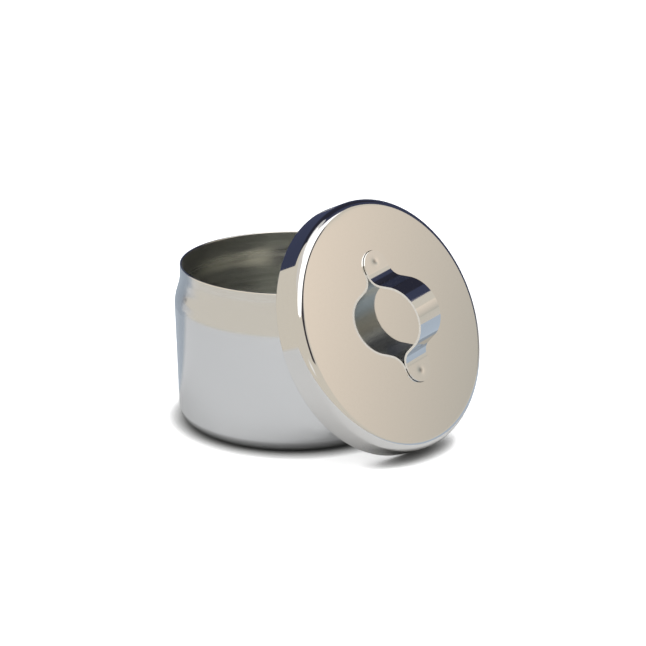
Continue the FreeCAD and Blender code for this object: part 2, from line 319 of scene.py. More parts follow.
def blank_material(name: str) -> tuple[bpy.types.Material, Tree, Socket]:
    """Makes a material with an output alone, and gives it, its tree and its surface input."""
    made = bpy.data.materials.new(name)
    made.use_nodes = True
    made.node_tree.nodes.clear()
    output = made.node_tree.nodes.new("ShaderNodeOutputMaterial")
    return made, made.node_tree, output.inputs["Surface"]


def feed(tree: Tree, socket: Socket, value: Socket | float | tuple[float, ...]) -> None:
    """Links an input to another node's output, or sets it where the value is a constant."""
    if isinstance(value, Socket):
        tree.links.new(value, socket)
    else:
        socket.default_value = value


def number(tree: Tree, operation: str, *values: Socket | float | Triple,
           kind: str = "ShaderNodeMath", result: str = "Value") -> Socket:
    """The number that an operation makes of numbers, or another node's named result."""
    node = tree.nodes.new(kind)
    node.operation = operation
    for socket, value in zip(node.inputs, values):
        feed(tree, socket, value)
    return node.outputs[result]


def vector(tree: Tree, operation: str, *values: Socket | Triple, result: str = "Vector") -> Socket:
    """The vector, or with result "Value" the number, that an operation makes of vectors."""
    return number(tree, operation, *values, kind="ShaderNodeVectorMath", result=result)


def joined(tree: Tree, *parts: Socket | float) -> Socket:
    """The vector with the given parts, and 0 for a part left out."""
    node = tree.nodes.new("ShaderNodeCombineXYZ")
    for socket, part in zip(node.inputs, parts):
        feed(tree, socket, part)
    return node.outputs["Vector"]


def mixed(tree: Tree, share: Socket, first: Colour | Socket, last: Colour | Socket) -> Socket:
    """The colour first + share (last - first), each linear or from another node."""
    mix = tree.nodes.new("ShaderNodeMix")
    mix.data_type = "RGBA"
    tree.links.new(share, mix.inputs["Factor"])
    for side, colour in (("A", first), ("B", last)):
        feed(tree, mix.inputs[side], (*colour, 1.0) if isinstance(colour, tuple) else colour)
    return mix.outputs["Result"]


def mixed_shader(tree: Tree, share: Socket, first: Socket, last: Socket) -> Socket:
    """The first shader where the share is 0, the last where it is 1, mixed between."""
    mix = tree.nodes.new("ShaderNodeMixShader")
    for socket, value in zip(mix.inputs, (share, first, last)):
        tree.links.new(value, socket)
    return mix.outputs["Shader"]


@dataclass(frozen=True)
class SteelFinish:
    """Stainless steel with one kind of surface.

    Fields:
        name: The material's name.
        grain: How the surface was finished.
        tint: Linear reflectance of the metal.
        roughness: Middle of the roughness.
        spread: How far the roughness wanders either way.
        grain_depth: Strength of the fine grain's bump.
        sway_depth: Strength of the slow unevenness left by drawing and polishing.
        place: The frame in which the grain runs round the upright axis.
        shaded_dimples: Centres (x, y) in that frame, in metres, of spots darkened as painted shade
            of the weld dimples.
        dimple_shade_size: Radius of such a painted-shade spot in metres.
    """

    name: str
    grain: Grain
    tint: Colour
    roughness: float
    spread: float
    grain_depth: float = 0.02
    sway_depth: float = 0.02
    place: Place = Place()
    shaded_dimples: tuple[Point, ...] = ()
    dimple_shade_size: float = 0.0015

    def material(self) -> bpy.types.Material:
        """Builds the node material: metal with grained roughness, tint and bump.

        Returns:
            The material.
        """
        made, tree, surface = blank_material(self.name)
        metal = tree.nodes.new("ShaderNodeBsdfPrincipled")
        metal.inputs["Metallic"].default_value = 1.0
        own = self._own_coordinates(tree)
        grain = self._grain(tree, own)
        sway = self._noise(tree, own, SWAY_CELLS, detail=1.0)
        fine = self._bump(tree, grain, self.grain_depth, GRAIN_HEIGHT)
        slow = self._bump(tree, sway, self.sway_depth, SWAY_HEIGHT, under=fine)
        tree.links.new(self._wander(tree, grain), metal.inputs["Roughness"])
        tree.links.new(self._tone(tree, own, grain), metal.inputs["Base Color"])
        tree.links.new(slow, metal.inputs["Normal"])
        tree.links.new(metal.outputs["BSDF"], surface)
        return made

    def _own_coordinates(self, tree: Tree) -> Socket:
        """Object coordinates taken back to the piece's own frame."""
        coordinates = tree.nodes.new("ShaderNodeTexCoord")
        back = tree.nodes.new("ShaderNodeMapping")
        back.vector_type = "TEXTURE"
        back.inputs["Location"].default_value = [value * MM for value in self.place.origin]
        back.inputs["Rotation"].default_value = self.place.turn
        tree.links.new(coordinates.outputs["Object"], back.inputs["Vector"])
        return back.outputs["Vector"]

    def _noise(self, tree: Tree, place: Socket, cells: float, detail: float) -> Socket:
        """A noise of so many cells to the metre."""
        noise = tree.nodes.new("ShaderNodeTexNoise")
        noise.inputs["Scale"].default_value = cells
        noise.inputs["Detail"].default_value = detail
        noise.inputs["Roughness"].default_value = NOISE_ROUGHNESS
        tree.links.new(place, noise.inputs["Vector"])
        return noise.outputs["Fac"]

    def _grain(self, tree: Tree, own: Socket) -> Socket:
        """The fine grain: lines round the axis where turned, else a fine even tooth.

        The lines are a noise over (c x, c y, k (r + z)), with c small and k large: it hardly
        changes on the way round a ring and changes fast from ring to ring.
        """
        if self.grain is Grain.MIRROR:
            return self._noise(tree, own, GRAIN_CELLS, detail=2.0)
        split = tree.nodes.new("ShaderNodeSeparateXYZ")
        tree.links.new(own, split.inputs["Vector"])
        across, along, up = (split.outputs[axis] for axis in "XYZ")
        radius = vector(tree, "LENGTH", joined(tree, across, along), result="Value")
        lines = joined(tree, across, along, number(tree, "ADD", radius, up))
        stretched = vector(tree, "MULTIPLY", lines, GRAIN_STRETCH[self.grain])
        return self._noise(tree, stretched, cells=1.0, detail=3.0)

    def _wander(self, tree: Tree, grain: Socket) -> Socket:
        """The roughness, which wanders with the grain."""
        low, high = NOISE_RANGE
        span = tree.nodes.new("ShaderNodeMapRange")
        span.inputs["From Min"].default_value = low
        span.inputs["From Max"].default_value = high
        span.inputs["To Min"].default_value = max(self.roughness - self.spread, 0.0)
        span.inputs["To Max"].default_value = self.roughness + self.spread
        tree.links.new(grain, span.inputs["Value"])
        return span.outputs["Result"]

    def _tint(self, share: float = 1.0) -> Colour:
        """A share of the tint."""
        return tuple(channel * share for channel in self.tint)

    def _tone(self, tree: Tree, own: Socket, grain: Socket) -> Socket:
        """The tint, which wanders a little with the grain, with painted shade at the weld dimples.
        """
        darkest = TURNED_TONE if self.grain is Grain.TURNED else GRAIN_TONE
        colour = mixed(tree, grain, self._tint(darkest), self._tint())
        # Each weld dimple darkens the tint round it, as painted shade of the dimple.
        for weld in self.shaded_dimples:
            away = self._away(tree, own, weld)
            colour = mixed(tree, away, self._tint(DIMPLE_SHADE_TONE), colour)
        return colour

    def _away(self, tree: Tree, own: Socket, weld: Point) -> Socket:
        """0 at a weld's centre, rising smoothly to 1 past its edge, from x and y alone."""
        flat = vector(tree, "MULTIPLY", own, (1.0, 1.0, 0.0))
        gap = vector(tree, "DISTANCE", flat, (*weld, 0.0), result="Value")
        rise = tree.nodes.new("ShaderNodeMapRange")
        rise.interpolation_type = "SMOOTHSTEP"
        rise.inputs["From Max"].default_value = self.dimple_shade_size
        tree.links.new(gap, rise.inputs["Value"])
        return rise.outputs["Result"]

    def _bump(self, tree: Tree, height: Socket, strength: float, distance: float,
              under: Socket | None = None) -> Socket:
        """A bump from a height, laid over another bump where one is given."""
        bump = tree.nodes.new("ShaderNodeBump")
        bump.inputs["Strength"].default_value = strength
        bump.inputs["Distance"].default_value = distance
        tree.links.new(height, bump.inputs["Height"])
        if under is not None:
            tree.links.new(under, bump.inputs["Normal"])
        return bump.outputs["Normal"]


def materials(finishes: list[SteelFinish]) -> list[bpy.types.Material]:
    """The materials of some finishes, in their order."""
    return [finish.material() for finish in finishes]


@dataclass
class Jar:
    """The drawn cup: flat bottom, tapered body, soft shoulder, S-bent neck, straight lip.

    Lengths are in millimetres.
    """

    shoulder_radius: float = 47.5
    base_inset: float = 1.1
    base_corner: float = 6.5
    height: float = 65.0
    neck_inset: float = 2.3
    neck_rise: float = 13.5
    lip_height: float = 3.5
    wall: float = 0.85
    shoulder_share: float = 0.45
    spokes: int = 288

    @property
    def rim_radius(self) -> float:
        """Outside of the lip."""
        return self.shoulder_radius - self.neck_inset

    def _profile(self) -> tuple[np.ndarray, np.ndarray]:
        """The section from the middle of the bottom, up the outside and down the inside.

        Each inner run lies one wall inside its outer run: bends share their centres, and the
        rim between the two is half round.

        Returns:
            The points and the zone of each step.
        """
        wall, corner = self.wall, self.base_corner
        both = (self.neck_rise ** 2 + self.neck_inset ** 2) / (2 * self.neck_inset)
        shoulder = min(both / 2, self.shoulder_share * self.shoulder_radius)
        neck = both - shoulder
        lip_foot = self.height - self.lip_height
        base_centre = (self.shoulder_radius - self.base_inset - corner, corner)
        shoulder_centre = (self.shoulder_radius - shoulder, lip_foot - self.neck_rise)
        neck_centre = (self.rim_radius + neck, lip_foot)
        across = shoulder_centre[0] - base_centre[0]
        along = shoulder_centre[1] - base_centre[1]
        lag = math.acos((corner - shoulder) / math.hypot(across, along))
        taper = math.atan2(along, across) - lag
        swing = math.asin(self.neck_rise / both)
        edge = wall / 2
        top = self.height - edge

        def at(centre: Point, radius: float, angle: float) -> Point:
            """The point of a circle at an angle."""
            return (centre[0] + radius * math.cos(angle), centre[1] + radius * math.sin(angle))

        inside = Zone.INSIDE
        runs = [
            Straight((0, 0), (base_centre[0], 0)),
            Bend(base_centre, corner, -RIGHT_ANGLE, taper),
            Straight(at(base_centre, corner, taper), at(shoulder_centre, shoulder, taper)),
            Bend(shoulder_centre, shoulder, taper, swing),
            Bend(neck_centre, neck, math.pi + swing, math.pi),
            Straight((self.rim_radius, lip_foot), (self.rim_radius, top)),
            Bend((self.rim_radius - edge, top), edge, 0, math.pi, Zone.EDGE),
            Straight((self.rim_radius - wall, top), (self.rim_radius - wall, lip_foot), inside),
            Bend(neck_centre, neck + wall, math.pi, math.pi + swing, inside),
            Bend(shoulder_centre, shoulder - wall, swing, taper, inside),
            Straight(at(shoulder_centre, shoulder - wall, taper),
                     at(base_centre, corner - wall, taper), inside),
            Bend(base_centre, corner - wall, taper, -RIGHT_ANGLE, inside),
            Straight((base_centre[0], wall), (0, wall), inside),
        ]
        return chain(runs)

    def build(self) -> bpy.types.Object:
        """Makes the jar and dresses it: satin outside, bright rim, turned grain inside.

        Returns:
            The jar's object.
        """
        profile, zones = self._profile()
        finishes = [
            SteelFinish("jar_outside", Grain.SATIN, shade(197, 198, 199),
                        roughness=0.16, spread=0.03, grain_depth=0.05, sway_depth=0.08),
            SteelFinish("jar_rim", Grain.MIRROR, shade(214, 212, 206),
                        roughness=0.12, spread=0.02),
            SteelFinish("jar_inside", Grain.TURNED, shade(231, 232, 227),
                        roughness=0.24, spread=0.05, grain_depth=0.04, sway_depth=0.0),
        ]
        return spun(profile, zones, self.spokes).to_object("drawn_jar", materials(finishes))


@dataclass
class Lid:
    """The drawn lid, face up in its own frame, and how it leans on the jar's rim.

    Lengths are in millimetres and angles in radians.
    """

    jar: Jar
    slack: float = 1.65
    depth: float = 12.3
    corner: float = 3.3
    wall: float = 0.8
    azimuth: float = math.radians(-41.9)
    rise: float = math.radians(24.75)
    lean_slack: float = 0.1
    spokes: int = 320

    @property
    def radius(self) -> float:
        """Outside of the skirt."""
        return self.jar.shoulder_radius + self.slack + self.wall

    def place(self) -> Place:
        """Where the lid's frame stands: on the edge of its skirt, its inner face on the rim.

        The face's middle is as high as R cos(rise) + depth sin(rise), which puts the lowest
        point of the skirt on the floor, and as far out as the rim it leans on.

        Returns:
            The lid's place.
        """
        up = self.radius * math.cos(self.rise) + self.depth * math.sin(self.rise)
        out = (self.jar.rim_radius + (self.jar.height - up) * math.tan(self.rise)
               + (self.wall + self.lean_slack) / math.cos(self.rise))
        origin = (out * math.cos(self.azimuth), out * math.sin(self.azimuth), up)
        return Place(origin, (0.0, RIGHT_ANGLE - self.rise, self.azimuth))

    def _profile(self) -> tuple[np.ndarray, np.ndarray]:
        """The section from the middle of the face, down the skirt and back up the inside.

        Returns:
            The points and the zone of each step.
        """
        wall, corner, radius = self.wall, self.corner, self.radius
        edge = wall / 2
        low = edge - self.depth
        centre = (radius - corner, -corner)
        inside = Zone.INSIDE
        runs = [
            Straight((0, 0), (centre[0], 0)),
            Bend(centre, corner, RIGHT_ANGLE, 0),
            Straight((radius, -corner), (radius, low)),
            Bend((radius - edge, low), edge, 0, -math.pi, Zone.EDGE),
            Straight((radius - wall, low), (radius - wall, -corner), inside),
            Bend(centre, corner - wall, 0, RIGHT_ANGLE, inside),
            Straight((centre[0], -wall), (0, -wall), inside),
        ]
        return chain(runs)

    def build(self) -> bpy.types.Object:
        """Makes the lid and dresses it: mirror polished outside, turned grain inside.

        Returns:
            The lid's object.
        """
        profile, zones = self._profile()
        place = self.place()
        finishes = [
            SteelFinish("lid_outside", Grain.MIRROR, shade(199, 198, 196), roughness=0.05,
                        spread=0.01, grain_depth=0.01, sway_depth=0.012, place=place),
            SteelFinish("lid_edge", Grain.MIRROR, shade(199, 198, 196), roughness=0.12,
                        spread=0.03, place=place),
            SteelFinish("lid_inside", Grain.TURNED, shade(200, 200, 196), roughness=0.24,
                        spread=0.06, grain_depth=0.3, sway_depth=0.1, place=place),
        ]
        leant = spun(profile, zones, self.spokes).placed(place.matrix())
        return leant.to_object("drawn_lid", materials(finishes))


def strip_faces(count: int, rows: int) -> tuple[np.ndarray, np.ndarray]:
    """Faces of a flat strip, closed all round, whose sides end in a tip at each end.

    The points are numbered over the upper side, then over the lower one, then come the upper
    tips at the back and the front and the lower ones.

    Args:
        count: How many points a side has along.
        rows: How many it has across.

    Returns:
        The quads of the upper side, the lower side and the edges, and the triangles, those of
        the upper side first.
    """
    upper = np.arange(count * rows).reshape(count, rows)
    lower = upper + count * rows
    back_top, front_top, back_low, front_low = range(2 * count * rows, 2 * count * rows + 4)
    under = np.stack([lower[:-1, :-1], lower[:-1, 1:], lower[1:, 1:], lower[1:, :-1]], axis=-1)
    left = np.stack([upper[1:, 0], upper[:-1, 0], lower[:-1, 0], lower[1:, 0]], axis=-1)
    right = np.stack([upper[:-1, -1], upper[1:, -1], lower[1:, -1], lower[:-1, -1]], axis=-1)
    corners = np.array([
        [upper[0, 0], back_top, back_low, lower[0, 0]],
        [back_top, upper[0, -1], lower[0, -1], back_low],
        [front_top, upper[-1, 0], lower[-1, 0], front_low],
        [upper[-1, -1], front_top, front_low, lower[-1, -1]],
    ])

    def fan(tip: int, edge: np.ndarray, flip: bool) -> np.ndarray:
        """Triangles from a tip to the row of points beside it."""
        pair = (edge[1:], edge[:-1]) if flip else (edge[:-1], edge[1:])
        return np.stack([np.full(len(edge) - 1, tip), *pair], axis=-1)

    quads = np.concatenate([sheet_faces(upper), under.reshape(-1, 4), left, right, corners])
    triangles = np.concatenate([
        fan(back_top, upper[0], True), fan(front_top, upper[-1], False),
        fan(back_low, lower[0], False), fan(front_low, lower[-1], True),
    ])
    return quads, triangles


@dataclass
class Handle:
    """The strap handle: one strip bent to an arch, with two round-ended feet.

    Lengths are in millimetres and angles in radians.
    """

    lid: Lid
    width: float = 12.8
    gauge: float = 0.9
    arch_height: float = 16.9
    arch_radius: float = 13.4
    flank_run: float = 4.4
    root_bend: float = 6.0
    foot_length: float = 7.7
    turn: float = math.radians(7.2)
    shift_along: float = -2.0
    shift_across: float = 2.4
    weld_radius: float = 1.35
    weld_depth: float = 0.16
    weld_inset: float = 4.4
    edge_round: float = 0.15
    # The dark tube of painted shade round each foot has this radius.
    gap_shade_radius: float = 0.2
    rows: int = 60
    row_spread: float = 0.999
    crown_points: int = 44
    root_points: int = 26
    foot_points: int = 8
    tip_points: int = 40
    bevel_segments: int = 3
    bevel_angle: float = math.radians(50)
    # How finely the tubes of painted shade round the feet are drawn.
    gap_shade_run_points: int = 5
    gap_shade_turn_points: int = 61
    gap_shade_spokes: int = 12

    def _half_line(self) -> tuple[np.ndarray, np.ndarray]:
        """The upper side of the strip from the crown to a tip, and its normals.

        It is the crown's arc, a straight flank that touches both bends, the root's arc the
        other way round, and the flat foot.

        Returns:
            Points (along, up) and unit normals, one row each.
        """
        root_up = self.root_bend + self.gauge
        crown_up = self.arch_height - self.arch_radius
        drop = root_up - crown_up
        both = self.arch_radius + self.root_bend
        root_out = math.sqrt(both ** 2 + self.flank_run ** 2 - drop ** 2)
        lean = math.atan2(drop, root_out) + math.acos(both / math.hypot(root_out, drop))
        crown = np.linspace(RIGHT_ANGLE, lean, self.crown_points)
        root = np.linspace(lean + math.pi, 3 * RIGHT_ANGLE, self.root_points)
        tip = root_out + self.foot_length
        radius = self.width / 2
        sweep = np.linspace(0, RIGHT_ANGLE, self.tip_points)[1:]
        foot = np.concatenate([
            np.linspace(root_out, tip - radius, self.foot_points)[1:],
            tip - radius + radius * np.sin(sweep),
        ])
        crown_spoke = np.stack([np.cos(crown), np.sin(crown)], axis=1)
        root_spoke = np.stack([np.cos(root), np.sin(root)], axis=1)
        points = np.concatenate([
            crown_spoke * self.arch_radius + [0, crown_up],
            root_spoke * self.root_bend + [root_out, root_up],
            np.stack([foot, np.full(len(foot), self.gauge)], axis=1),
        ])
        level = np.tile([0.0, 1.0], (len(foot), 1))
        normals = np.concatenate([crown_spoke, -root_spoke, level])
        return points, normals

    def _surface(self) -> Surface:
        """The strip as a closed surface over (along, across).

        A point of the upper side is line(s), w h(s) across, where w runs from -1 to 1 and h(s)
        is half the width, which falls to nothing round a tip as the side of a circle. At a weld
        it lies depth exp(-q q) lower, q being the distance from the weld in weld radii. The
        lower side is line(s) one gauge down along the normal.

        Returns:
            The closed surface in the handle's own frame.
        """
        half, half_normals = self._half_line()
        points = np.concatenate([half[:0:-1] * [-1, 1], half])
        normals = np.concatenate([half_normals[:0:-1] * [-1, 1], half_normals])
        radius = self.width / 2
        tip = half[-1, 0]
        past = np.clip(np.abs(points[:, 0]) - (tip - radius), 0, radius)
        reach = np.sqrt(np.maximum(radius ** 2 - past ** 2, 0))
        spread_angles = np.linspace(-RIGHT_ANGLE, RIGHT_ANGLE, self.rows + 1) * self.row_spread
        share = np.sin(spread_angles)
        share = share / share[-1]
        inner = slice(1, -1)
        along = np.repeat(points[inner, :1], len(share), axis=1)
        up = np.repeat(points[inner, 1:], len(share), axis=1)
        across = reach[inner, None] * share
        weld_out = tip - self.weld_inset
        spread = np.hypot(np.abs(along) - weld_out, across) / self.weld_radius
        dimple = self.weld_depth * np.exp(-spread ** 2)
        top = np.stack([along, across, up - dimple], axis=-1)
        shift = np.repeat(normals[inner, None, :], len(share), axis=1) * self.gauge
        under = np.stack([along - shift[..., 0], across, up - shift[..., 1]], axis=-1)
        count, rows = top.shape[:2]
        tips = np.array([
            [-tip, 0, self.gauge], [tip, 0, self.gauge], [-tip, 0, 0], [tip, 0, 0],
        ])
        cloud = np.concatenate([top.reshape(-1, 3), under.reshape(-1, 3), tips])
        quads, triangles = strip_faces(count, rows)
        side_quads, side_fans = (count - 1) * (rows - 1), 2 * (rows - 1)
        zones = np.full(len(quads), Zone.EDGE.value)
        zones[:2 * side_quads] = Zone.INSIDE.value
        zones[:side_quads] = Zone.OUTSIDE.value
        tip_zones = np.repeat([Zone.OUTSIDE.value, Zone.INSIDE.value], side_fans)
        return Surface(cloud, quads, triangles, zones, tip_zones)

    def matrix(self) -> Matrix:
        """The matrix that takes the handle's own frame to the object's, in millimetres."""
        on_lid = Matrix.Translation((self.shift_along, self.shift_across, 0))
        return self.lid.place().matrix() @ on_lid @ Matrix.Rotation(self.turn, 4, "Z")

    def place(self) -> Place:
        """Where the handle's frame stands on the lid's face."""
        matrix = self.matrix()
        return Place(tuple(matrix.translation), tuple(matrix.to_euler("XYZ")))

    def build(self) -> bpy.types.Object:
        """Makes the handle on the lid's face, with its edges broken, and polishes it.

        Returns:
            The handle's object.
        """
        place = self.place()
        weld_out = (self._half_line()[0][-1, 0] - self.weld_inset) * MM
        # The tint darkens round these spots as painted shade of the weld dimples.
        shaded_dimples = ((-weld_out, 0.0), (weld_out, 0.0))
        finishes = [
            SteelFinish("handle_outside", Grain.MIRROR, shade(199, 199, 198), roughness=0.07,
                        spread=0.015, grain_depth=0.015, sway_depth=0.015, place=place,
                        shaded_dimples=shaded_dimples),
            # The edge's tint is brighter than the steel's own, a painted highlight along the
            # strip's edges.
            SteelFinish("handle_edge_highlight", Grain.MIRROR, shade(251, 250, 247), roughness=0.2,
                        spread=0.03, place=place),
            SteelFinish("handle_inside", Grain.SATIN, shade(203, 206, 200), roughness=0.42,
                        spread=0.06, grain_depth=0.05, sway_depth=0.03, place=place),
        ]
        surface = self._surface().placed(self.matrix())
        piece = surface.to_object("strap_handle", materials(finishes))
        bevel = piece.modifiers.new("broken_edges", "BEVEL")
        bevel.width = self.edge_round * MM
        bevel.segments = self.bevel_segments
        bevel.limit_method = "ANGLE"
        bevel.angle_limit = self.bevel_angle
        bevel.harden_normals = True
        return piece

    def _gap_shade(self, side: int) -> Surface:
        """A fine dark tube along one foot's outline, where it meets the lid: painted shade of the
        gap there.

        The path runs along a straight side, round half a circle and back along the other side.
        The tube's point at angle a is path + r (cos a out + sin a up), where out is level and
        square to the path.

        Args:
            side: 1 for the foot at the strip's front end, -1 for the one at its back end.

        Returns:
            The closed tube in the handle's own frame.
        """
        half, _ = self._half_line()
        radius = self.width / 2
        tip = half[-1, 0]
        start = tip - self.foot_length
        turns = np.linspace(-RIGHT_ANGLE, RIGHT_ANGLE, self.gap_shade_turn_points)
        straight = np.linspace(start, tip - radius, self.gap_shade_run_points)[:-1]
        along = np.concatenate([straight, tip - radius + radius * np.cos(turns), straight[::-1]])
        heading = np.pad(turns, len(straight), mode="edge")
        across = radius * np.sin(heading)
        around = np.linspace(0, 2 * math.pi, self.gap_shade_spokes, endpoint=False)
        out = self.gap_shade_radius * np.cos(around)
        cloud = np.stack([
            side * (along[:, None] + np.cos(heading)[:, None] * out),
            across[:, None] + np.sin(heading)[:, None] * out,
            np.tile(self.gap_shade_radius * np.sin(around), (len(along), 1)),
        ], axis=-1)
        quads, triangles = tube_faces(len(along), self.gap_shade_spokes)
        ends = np.array([cloud[0].mean(axis=0), cloud[-1].mean(axis=0)])
        return Surface(np.concatenate([cloud.reshape(-1, 3), ends]), quads, triangles,
                       np.zeros(len(quads), dtype=int), np.zeros(len(triangles), dtype=int))

    def build_gap_shades(self) -> list[bpy.types.Object]:
        """Makes the dark hairline round each foot, painted shade of the gap against the lid.

        Returns:
            The two painted-shade tubes' objects.
        """
        # A dark rough finish: painted shade in the gap where each foot meets the lid.
        gap_shade_finish = SteelFinish("foot_gap_shade", Grain.SATIN, shade(70, 66, 62), roughness=0.55,
                             spread=0.1, grain_depth=0.1, sway_depth=0.05, place=self.place())
        dark = materials([gap_shade_finish])
        return [
            self._gap_shade(side).placed(self.matrix()).to_object(name, dark)
            for side, name in ((-1, "foot_gap_shade_back"), (1, "foot_gap_shade_front"))
        ]


@dataclass(frozen=True)
class Card:
    """A reflector: a patch of a sphere about the object that only reflections see.

    Bearings are in degrees from +Y towards +X, and heights in degrees above level. The glow
    runs from one colour at the first bearing to another at the last, and where it has a slant
    it also runs from the lowest height to the highest.
    """

    name: str
    bearings: Point
    heights: Point
    colour: Colour
    far_colour: Colour | None = None
    distance: float = 0.8
    slant: float = 0.0
    feather: Point = (0.0, 0.0)

    def build(self) -> bpy.types.Object:
        """Makes the patch: middle + distance (sin b cos h, cos b cos h, sin h).

        Returns:
            The card's object.
        """
        across, up = patch_grid(self.bearings, self.heights)
        spoke = np.stack([
            np.sin(across) * np.cos(up), np.cos(across) * np.cos(up), np.sin(up),
        ], axis=-1)
        return reflector(self.name, spoke * self.distance + CARD_MIDDLE, self.colour,
                         self.far_colour or self.colour, self.feather, self.slant)


@dataclass(frozen=True)
class FarFloor:
    """A sector of the floor, just over the paper, which only reflections see.

    Bearings are in degrees from +Y towards +X, and reaches and the lift in metres.
    """

    name: str
    bearings: Point
    reaches: Point
    colour: Colour
    lift: float = 0.0006
    feather: Point = (0.12, 0.045)

    def build(self) -> bpy.types.Object:
        """Makes the sector: (reach sin b, reach cos b, lift).

        Returns:
            The sector's object.
        """
        across, step = patch_grid(self.bearings, (0, 90))
        reach = self.reaches[0] + (self.reaches[1] - self.reaches[0]) * step / RIGHT_ANGLE
        points = np.stack([
            np.sin(across) * reach, np.cos(across) * reach, np.full(reach.shape, self.lift),
        ], axis=-1)
        return reflector(self.name, points, self.colour, self.colour, self.feather)


def patch_grid(across: Point, up: Point) -> tuple[np.ndarray, np.ndarray]:
    """Two angles of a patch, in radians, at the points of its grid.

    Args:
        across: First and last of the one angle, in degrees.
        up: First and last of the other.

    Returns:
        The two angles at each point of the grid.
    """
    first = np.radians(np.linspace(*across, PATCH_ROWS))
    second = np.radians(np.linspace(*up, PATCH_COLUMNS))
    return tuple(np.meshgrid(first, second, indexing="ij"))


def fade(count: int, feather: float) -> np.ndarray:
    """Rises as u u (3 - 2 u) from 0 to 1 over the feather at a row's start, and falls at its end.

    Args:
        count: How many points the row has.
        feather: That part of the row.

    Returns:
        The value at each point.
    """
    if not feather:
        return np.ones(count)
    place = np.linspace(0, 1, count)
    inward = np.clip(np.minimum(place, 1 - place) / feather, 0, 1)
    return inward * inward * (3 - 2 * inward)


def point_value(tree: Tree, name: str) -> Socket:
    """The value of that name that a mesh carries at its points."""
    node = tree.nodes.new("ShaderNodeAttribute")
    node.attribute_name = name
    return node.outputs["Fac"]


def reflector(name: str, grid: np.ndarray, first: Colour, last: Colour, feather: Point,
              slant: float = 0.0) -> bpy.types.Object:
    """Makes a glowing surface that only reflections see, as part of the stage.

    Its colour is first + share (last - first), where share is (1 - slant) i + slant j at the
    grid's row i and column j, both counted from 0 to 1. It thins out to nothing at its edges.

    Args:
        name: The object's name.
        grid: A grid of points in metres.
        first: Linear colour of the glow where the share is 0.
        last: Its colour where the share is 1.
        feather: The parts of the rows and of the columns over which an edge thins out.
        slant: How much of the change runs along the columns.

    Returns:
        The object.
    """
    rows, columns = grid.shape[:2]
    index = np.arange(rows * columns).reshape(rows, columns)
    mesh = bpy.data.meshes.new(name)
    mesh.from_pydata(grid.reshape(-1, 3).tolist(), [], sheet_faces(index).tolist())
    row, column = np.linspace(0, 1, rows), np.linspace(0, 1, columns)
    share = (1 - slant) * row[:, None] + slant * column
    cover = fade(rows, feather[0])[:, None] * fade(columns, feather[1])
    for label, values in (("share", share), ("cover", cover)):
        attribute = mesh.attributes.new(label, "FLOAT", "POINT")
        attribute.data.foreach_set("value", values.ravel())
    glow, tree, surface = blank_material(name)
    emission = tree.nodes.new("ShaderNodeEmission")
    clear = tree.nodes.new("ShaderNodeBsdfTransparent")
    tree.links.new(mixed(tree, point_value(tree, "share"), first, last), emission.inputs["Color"])
    edged = mixed_shader(tree, point_value(tree, "cover"), clear.outputs["BSDF"],
                         emission.outputs["Emission"])
    tree.links.new(edged, surface)
    mesh.materials.append(glow)
    card = add_object(name, mesh)
    card.visible_camera = False
    card.visible_diffuse = False
    card.visible_shadow = False
    card.visible_volume_scatter = False
    return card


@dataclass(frozen=True)
class Lamp:
    """A square soft lamp aimed at the object's middle, which the steel doesn't reflect.

    The spot and the size are in metres and the power in watts.
    """

    name: str
    spot: Triple
    size: float
    power: float

    def build(self) -> None:
        """Hangs the lamp."""
        light = bpy.data.lights.new(self.name, "AREA")
        light.size = self.size
        light.energy = self.power
        lamp = add_object(self.name, light)
        lamp.location = self.spot
        aim = Vector(LAMP_AIM) - Vector(self.spot)
        lamp.rotation_euler = aim.to_track_quat("-Z", "Y").to_euler()
        lamp.visible_glossy = False


LAMPS = (
    Lamp("key_lamp", (0.6, -0.5, 1.25), size=1.1, power=12.0),
    Lamp("fill_lamp", (-0.7, -0.8, 1.1), size=1.0, power=4.0),
)

SURROUNDINGS = (
    Card("beige_room", (-180, 180), (-4, 54), (1.0, 0.93, 0.81), distance=0.9),
    Card("warm_wall", (73, 95), (3, 24), (0.46, 0.50, 0.47), far_colour=(1.50, 1.28, 1.07),
         distance=0.42, slant=0.5),
    Card("navy_back", (-57, 70), (-2, 68), (0.064, 0.075, 0.137)),
    Card("pale_box", (-64, -16), (-14, 11), (0.46, 0.52, 0.59), distance=0.2,
         feather=(0.2, 0.1)),
    Card("dark_back", (-57, 44), (30, 66), (0.035, 0.037, 0.060), distance=0.79),
    Card("grey_side", (70, 78), (40, 68), (0.32, 0.31, 0.38), distance=0.81),
    Card("white_top", (76, 192), (39, 78), (2.6, 2.6, 2.6)),
    Card("white_zenith", (-180, 180), (76, 90), (2.0, 2.0, 2.0), distance=0.78),
    Card("left_top", (-170, -57), (52, 78), (1.05, 1.0, 0.95)),
    Card("dark_left", (113, 140), (19, 39), (0.075, 0.068, 0.080), distance=0.75),
    Card("dark_frame", (86, 112), (26, 39), (0.13, 0.12, 0.13), distance=0.85),
    Card("white_sheet", (168, 189), (1, 10), (1.38, 1.36, 1.33), distance=0.84,
         feather=(0.15, 0.2)),
    Card("far_edge", (58, 125), (-4, 3), (0.90, 0.85, 0.75), distance=0.86),
    FarFloor("beige_floor", (114, 302), (0.20, 0.95), (1.0, 0.93, 0.81)),
    FarFloor("shaded_floor", (-70, -12), (0.052, 0.27), (0.54, 0.60, 0.67)),
    FarFloor("navy_floor", (-60, 56), (0.26, 0.95), (0.16, 0.19, 0.26)),
    FarFloor("blue_floor", (56, 132), (0.085, 0.265), (0.66, 0.76, 0.89)),
    FarFloor("right_floor", (50, 132), (0.245, 0.95), (0.92, 0.86, 0.76), lift=0.0004),
)


